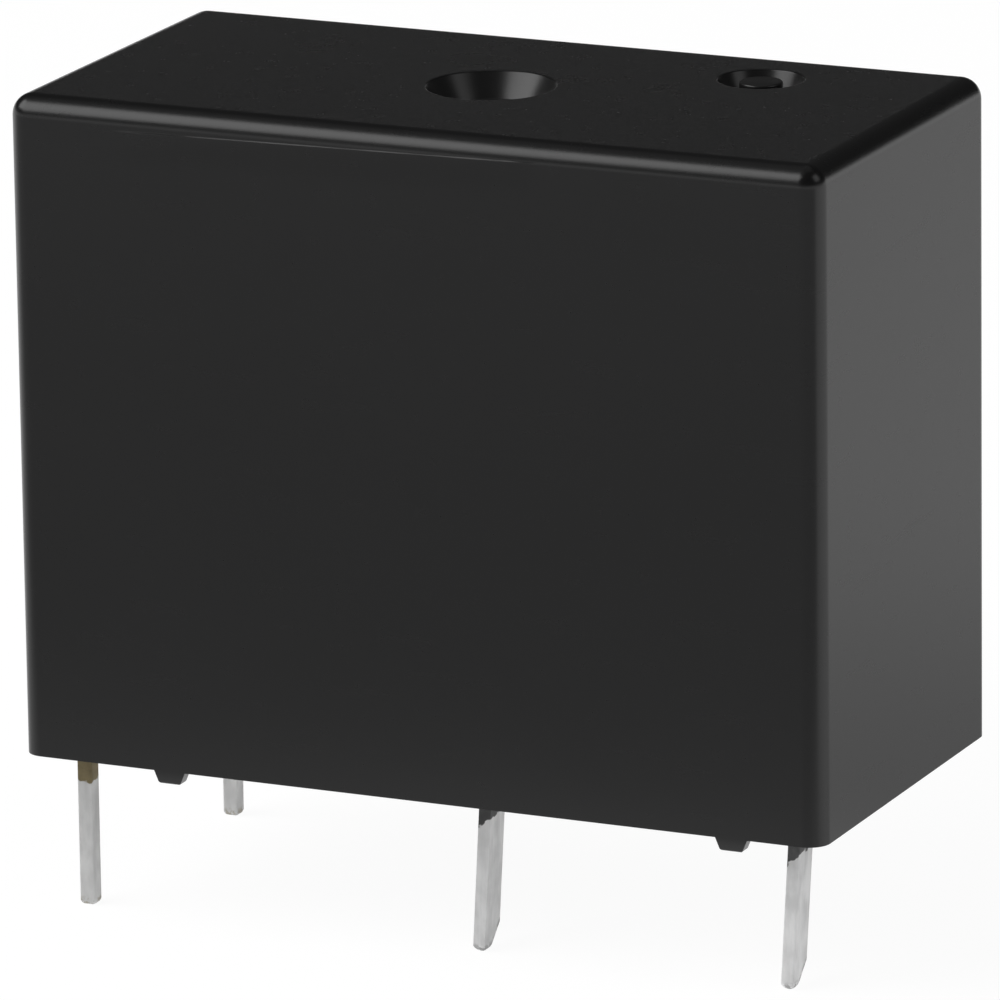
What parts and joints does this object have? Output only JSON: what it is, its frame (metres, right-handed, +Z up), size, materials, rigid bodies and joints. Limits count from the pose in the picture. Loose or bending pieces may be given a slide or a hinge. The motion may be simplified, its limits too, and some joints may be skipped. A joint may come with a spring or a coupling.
{
  "type": "pcb power relay",
  "caption": "Sealed miniature power relay for a circuit board: black case over coil, armature, card and contacts, with solder pins below.",
  "frame": {"origin": "centre of the case's length and width, level with the tips of the terminals", "axes": "+X along the case from the coil end to the contact end, +Y from the front face, where the contact blades are, to the back face, +Z up from the tips to the roof"},
  "size_m": [0.02, 0.01, 0.0194],
  "materials": {
    "black_moulding": "satin",
    "dark_moulding": "matte",
    "epoxy": "gloss",
    "white_moulding": "satin",
    "enamelled_copper": "gloss",
    "amber_film": "gloss",
    "soft_iron": "satin",
    "tinned_metal": "satin",
    "spring_alloy": "satin",
    "spring_steel": "satin",
    "silver_alloy": "satin"
  },
  "bodies": {
    "housing": {"cover": "black_moulding", "sealing_resin": "epoxy", "base": "dark_moulding", "bobbin": "white_moulding", "coil_winding": "enamelled_copper", "coil_tape": "amber_film", "coil_terminal_front": "tinned_metal", "coil_terminal_back": "tinned_metal", "coil_lead_front": "enamelled_copper", "coil_lead_back": "enamelled_copper", "core": "soft_iron", "yoke": "soft_iron", "hinge_spring": "spring_steel", "common_terminal": "tinned_metal", "fixed_terminal": "tinned_metal", "fixed_contact": "silver_alloy", "spring_rivet_front": "spring_alloy", "spring_rivet_back": "spring_alloy"},
    "armature": {"armature": "soft_iron"},
    "card": {"card": "white_moulding"},
    "contact_spring": {"moving_spring": "spring_alloy", "moving_contact": "silver_alloy"}
  },
  "joints": [
    {"name": "armature_pivot", "type": "hinge", "parent": "housing", "child": "armature", "pos_m": [-0.00035, 0, 0.0166], "axis": [0, -1, 0], "range_deg": [0, 3.5], "stiffness_Nm_per_rad": 0.001, "springref_deg": -11.46},
    {"name": "card_slide", "type": "slide", "parent": "housing", "child": "card", "axis": [1, 0, 0], "range_m": [0, 0.000355]},
    {"name": "contact_spring_flex", "type": "hinge", "parent": "housing", "child": "contact_spring", "pos_m": [0.00696, 0, 0.00755], "axis": [0, 1, 0], "range_deg": [0, 6.25]}
  ],
  "couplings": [
    {"joint": "card_slide", "follows": "armature_pivot", "m_per_rad": 0.0058},
    {"joint": "contact_spring_flex", "follows": "armature_pivot", "ratio": 1.7846}
  ]
}
